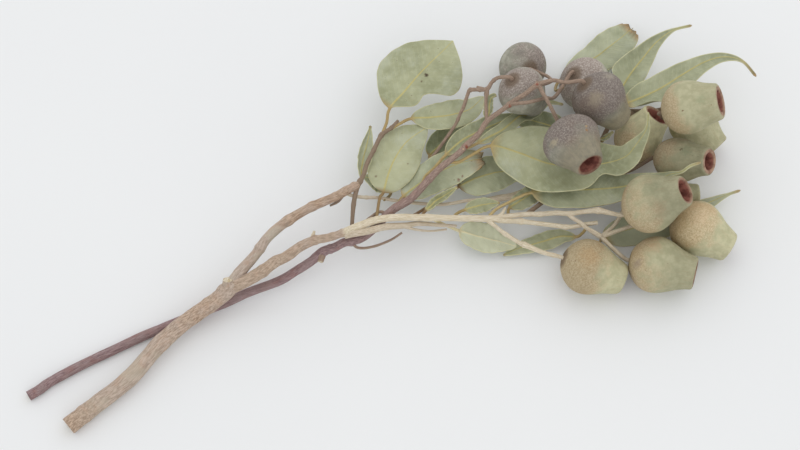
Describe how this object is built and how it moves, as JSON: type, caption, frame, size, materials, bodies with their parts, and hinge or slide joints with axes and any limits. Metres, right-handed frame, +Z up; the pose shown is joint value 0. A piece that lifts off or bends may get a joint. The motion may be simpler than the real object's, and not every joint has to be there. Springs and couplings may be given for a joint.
{
  "type": "bunch of dried eucalyptus",
  "caption": "Two crossed dried gum branches lying on a surface, with sage-green leaves and clusters of grey and pale green woody nuts, for decoration.",
  "frame": {"origin": "on the surface that the bunch lies on, under the middle of its bounding box", "axes": "+X along the bunch from the cut ends of the branches toward the nuts, +Z up"},
  "size_m": [0.4698, 0.2058, 0.0677],
  "materials": {
    "grey_bark": "dry, matt",
    "purple_bark": "dry, matt",
    "grey_nut": "dry, waxy bloom",
    "pale_nut": "dry, waxy bloom",
    "sage_leaf": "dry, matt"
  },
  "bodies": {
    "root": {"branch_a": "grey_bark", "branch_b": "purple_bark", "nut_grey_1": "grey_nut", "nut_grey_2": "grey_nut", "nut_grey_3": "grey_nut", "nut_grey_4": "grey_nut", "nut_grey_5": "grey_nut", "nut_pale_1": "pale_nut", "nut_pale_2": "pale_nut", "nut_pale_3": "pale_nut", "nut_pale_4": "pale_nut", "nut_pale_5": "pale_nut", "nut_pale_6": "pale_nut", "nut_pale_7": "pale_nut", "nut_pale_8": "pale_nut", "nut_pale_9": "pale_nut", "leaf_01": "sage_leaf", "leaf_02": "sage_leaf", "leaf_03": "sage_leaf", "leaf_04": "sage_leaf", "leaf_05": "sage_leaf", "leaf_06": "sage_leaf", "leaf_07": "sage_leaf", "leaf_08": "sage_leaf", "leaf_09": "sage_leaf", "leaf_10": "sage_leaf", "leaf_11": "sage_leaf", "leaf_12": "sage_leaf", "leaf_13": "sage_leaf", "leaf_14": "sage_leaf", "leaf_15": "sage_leaf", "leaf_16": "sage_leaf", "leaf_17": "sage_leaf", "leaf_18": "sage_leaf", "leaf_19": "sage_leaf", "leaf_20": "sage_leaf", "leaf_21": "sage_leaf", "leaf_22": "sage_leaf", "leaf_23": "sage_leaf", "leaf_24": "sage_leaf"}
  },
  "joints": []
}
